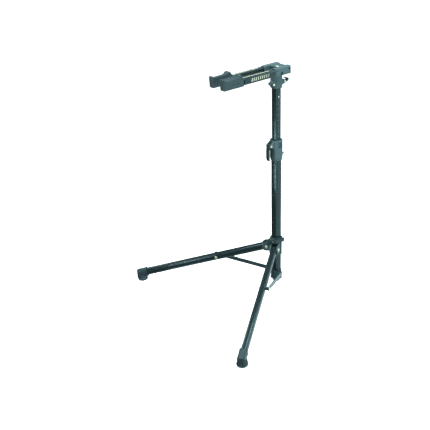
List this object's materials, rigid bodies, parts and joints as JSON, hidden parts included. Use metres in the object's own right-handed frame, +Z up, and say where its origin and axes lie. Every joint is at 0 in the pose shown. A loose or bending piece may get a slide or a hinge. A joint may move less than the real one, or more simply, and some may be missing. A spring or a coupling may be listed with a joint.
{
  "type": "folding bicycle work stand",
  "caption": "Folding work stand: a telescopic square mast on a base foot and two folding legs, topped by a tilting fork with rubber saddles that carry a bicycle.",
  "frame": {"origin": "on the mast's axis, on the ground under the base foot", "axes": "+Z up along the mast; -Y is the front, where the prongs point and between the two legs; +X is the right-hand side"},
  "size_m": [0.91, 0.6209, 1.077],
  "materials": {
    "mast_paint": "black anodised fluted aluminium tube",
    "cast_paint": "satin charcoal paint on die-cast aluminium",
    "rubber": "matte black moulded rubber",
    "plastic": "fine-grained black moulded plastic",
    "bright_steel": "zinc-plated steel",
    "black_steel": "black oxide steel",
    "link_paint": "grey satin paint on flat bar",
    "print": "pale printed film"
  },
  "bodies": {
    "lower_mast": {"base_foot": "rubber", "base_casting": "cast_paint", "lower_tube": "mast_paint", "base_pivot_bolts": "bright_steel", "height_collar": "cast_paint", "collar_bush": "plastic", "collar_rear_bolt": "bright_steel", "height_lever_pin": "bright_steel", "height_clamp_pad": "plastic"},
    "height_lever": {"height_lever": "plastic", "height_lever_insert": "bright_steel"},
    "hub": {"hub_casting": "cast_paint", "hub_liner": "plastic", "leg_hinge_bolts": "bright_steel", "hub_skewer": "bright_steel", "hub_lever_pin": "bright_steel"},
    "hub_lever": {"hub_lever": "plastic"},
    "upper_mast": {"upper_tube": "mast_paint", "tube_end_plug": "plastic", "height_scale": "print", "neck_bracket": "cast_paint", "neck_pinch_bolt": "bright_steel", "tilt_brake_plunger": "bright_steel", "tilt_lever_pin": "bright_steel"},
    "tilt_lever": {"tilt_lever": "plastic"},
    "head": {"head_casting": "cast_paint", "rail_left": "mast_paint", "rail_right": "mast_paint", "prong_sleeve_left": "rubber", "prong_sleeve_right": "rubber", "tilt_pivot_bolt": "black_steel", "tilt_washers": "plastic", "head_cross_bolts": "black_steel", "rail_rivets": "black_steel", "head_badge": "print"},
    "leg_left": {"leg_tube_left": "mast_paint", "leg_bush_left": "plastic", "leg_boot_left": "plastic", "foot_pad_left": "rubber", "foot_screw_left": "bright_steel", "link_bolt_left": "bright_steel", "link_spacer_left": "plastic"},
    "link_left": {"link_bar_left": "link_paint", "link_bush_left": "plastic", "link_rivet_left": "bright_steel"},
    "leg_right": {"leg_tube_right": "mast_paint", "leg_bush_right": "plastic", "leg_boot_right": "plastic", "foot_pad_right": "rubber", "foot_screw_right": "bright_steel", "link_bolt_right": "bright_steel", "link_spacer_right": "plastic"},
    "link_right": {"link_bar_right": "link_paint", "link_bush_right": "plastic", "link_rivet_right": "bright_steel"}
  },
  "joints": [
    {"name": "hub_slide", "type": "slide", "parent": "lower_mast", "child": "hub", "axis": [0, 0, 1], "range_m": [0, 0.3936]},
    {"name": "leg_fold_left", "type": "hinge", "parent": "hub", "child": "leg_left", "pos_m": [-0.03021, -0.0373, 0.198], "axis": [0.7771, -0.6293, 0], "range_deg": [0, 65.89]},
    {"name": "link_fold_left", "type": "hinge", "parent": "lower_mast", "child": "link_left", "pos_m": [-0.02805, 0.00985, 0.046], "axis": [-0.7771, 0.6293, 0], "range_deg": [0, 57.15]},
    {"name": "leg_fold_right", "type": "hinge", "parent": "hub", "child": "leg_right", "pos_m": [0.03021, -0.0373, 0.198], "axis": [0.7771, 0.6293, 0], "range_deg": [0, 65.89]},
    {"name": "link_fold_right", "type": "hinge", "parent": "lower_mast", "child": "link_right", "pos_m": [0.02805, 0.00985, 0.046], "axis": [-0.7771, -0.6293, 0], "range_deg": [0, 57.15]},
    {"name": "hub_lever_turn", "type": "hinge", "parent": "hub", "child": "hub_lever", "pos_m": [0.018, -0.033, 0.235], "axis": [0, 0, -1], "range_deg": [0, 100]},
    {"name": "mast_slide", "type": "slide", "parent": "lower_mast", "child": "upper_mast", "axis": [0, 0, 1], "range_m": [-0.23, 0.33]},
    {"name": "height_lever_flip", "type": "hinge", "parent": "lower_mast", "child": "height_lever", "pos_m": [0, -0.04, 0.717], "axis": [-1, 0, 0], "range_deg": [0, 110]},
    {"name": "tilt_lever_flip", "type": "hinge", "parent": "upper_mast", "child": "tilt_lever", "pos_m": [0, 0.038, 1], "axis": [-1, 0, 0], "range_deg": [0, 105]},
    {"name": "head_tilt", "type": "hinge", "parent": "upper_mast", "child": "head", "pos_m": [0, -0.01, 1.046], "axis": [1, 0, 0], "range_deg": [-15, 45]}
  ],
  "couplings": [
    {"joint": "leg_fold_left", "follows": "hub_slide", "rad_per_m": 2.9175},
    {"joint": "link_fold_left", "follows": "hub_slide", "rad_per_m": 2.5298},
    {"joint": "leg_fold_right", "follows": "hub_slide", "rad_per_m": 2.9175},
    {"joint": "link_fold_right", "follows": "hub_slide", "rad_per_m": 2.5298}
  ]
}
